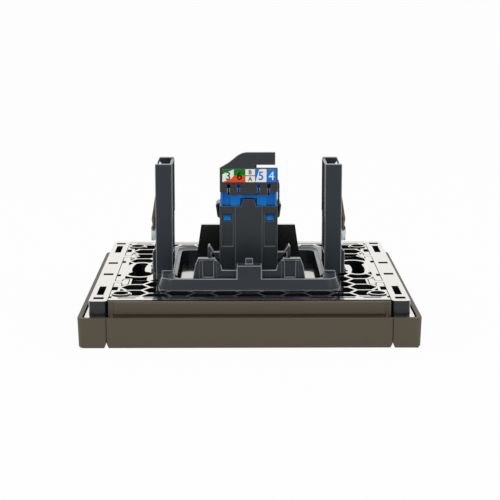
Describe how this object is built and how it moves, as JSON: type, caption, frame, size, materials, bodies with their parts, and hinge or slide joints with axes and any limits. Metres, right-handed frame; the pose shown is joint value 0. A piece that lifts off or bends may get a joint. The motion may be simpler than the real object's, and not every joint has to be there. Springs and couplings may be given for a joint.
{
  "type": "ethernet wall socket",
  "caption": "Flush data socket for a wall box: square cover and port plate in front, ribbed support plate, claw towers and an upright jack module with a press-on wire cap behind.",
  "frame": {"origin": "centre of the front face, on the plane that the cover lies on", "axes": "+Z out of the back towards the wall box, +Y up when mounted with the shutter opening upwards, +X to the right seen from the back with +Y away"},
  "size_m": [0.085, 0.085, 0.0445],
  "materials": {
    "brown_plastic": "fine matte texture",
    "black_plastic": "polished",
    "grey_plastic": "satin",
    "jack_plastic": "satin",
    "blue_plastic": "moulded",
    "claw_steel": "zinc plated",
    "screw_steel": "zinc plated",
    "spring_steel": "drawn wire",
    "gold_contact": "gold flashed",
    "tinned_contact": "tinned",
    "board": "solder mask",
    "label_print": "printed film"
  },
  "bodies": {
    "socket": {"cover_frame": "brown_plastic", "face_plate": "brown_plastic", "shutter_spring": "spring_steel", "support_plate": "black_plastic", "side_rail_left": "black_plastic", "side_rail_right": "black_plastic", "mechanism_frame": "grey_plastic", "port_carrier": "black_plastic", "jack_body": "jack_plastic", "contact_comb": "black_plastic", "jack_contacts": "gold_contact", "circuit_board": "board", "idc_contacts": "tinned_contact", "contact_block": "blue_plastic"},
    "shutter": {"dust_shutter": "brown_plastic"},
    "screw_left": {"claw_screw_left": "screw_steel"},
    "screw_right": {"claw_screw_right": "screw_steel"},
    "nut_left": {"claw_nut_left": "screw_steel"},
    "nut_right": {"claw_nut_right": "screw_steel"},
    "claw_left": {"claw_left": "claw_steel"},
    "claw_right": {"claw_right": "claw_steel"},
    "cap": {"wire_cap": "jack_plastic", "wiring_label": "label_print", "wiring_label_rear": "label_print"}
  },
  "joints": [
    {"name": "shutter_slide", "type": "slide", "parent": "socket", "child": "shutter", "axis": [0, 1, 0], "range_m": [0, 0.0118], "stiffness_N_per_m": 20, "springref_m": -0.004, "deforming": ["shutter_spring"]},
    {"name": "cap_lift", "type": "slide", "parent": "socket", "child": "cap", "axis": [0, 0, 1], "range_m": [0, 0.012]},
    {"name": "screw_left_turn", "type": "hinge", "parent": "socket", "child": "screw_left", "pos_m": [-0.0229, 0, 0.02], "axis": [0, 0, 1], "range_deg": [0, 2881]},
    {"name": "nut_left_travel", "type": "slide", "parent": "socket", "child": "nut_left", "axis": [0, 0, -1], "range_m": [0, 0.0064]},
    {"name": "claw_left_swing", "type": "hinge", "parent": "nut_left", "child": "claw_left", "pos_m": [-0.0254, 0, 0.0235], "axis": [0, -1, 0], "range_deg": [0, 16.01]},
    {"name": "screw_right_turn", "type": "hinge", "parent": "socket", "child": "screw_right", "pos_m": [0.0229, 0, 0.02], "axis": [0, 0, 1], "range_deg": [0, 2881]},
    {"name": "nut_right_travel", "type": "slide", "parent": "socket", "child": "nut_right", "axis": [0, 0, -1], "range_m": [0, 0.0064]},
    {"name": "claw_right_swing", "type": "hinge", "parent": "nut_right", "child": "claw_right", "pos_m": [0.0254, 0, 0.0235], "axis": [0, 1, 0], "range_deg": [0, 16.01]}
  ],
  "couplings": [
    {"joint": "screw_left_turn", "follows": "nut_left_travel", "rad_per_m": 7854},
    {"joint": "claw_left_swing", "follows": "nut_left_travel", "rad_per_m": 43.633},
    {"joint": "screw_right_turn", "follows": "nut_right_travel", "rad_per_m": 7854},
    {"joint": "claw_right_swing", "follows": "nut_right_travel", "rad_per_m": 43.633}
  ]
}
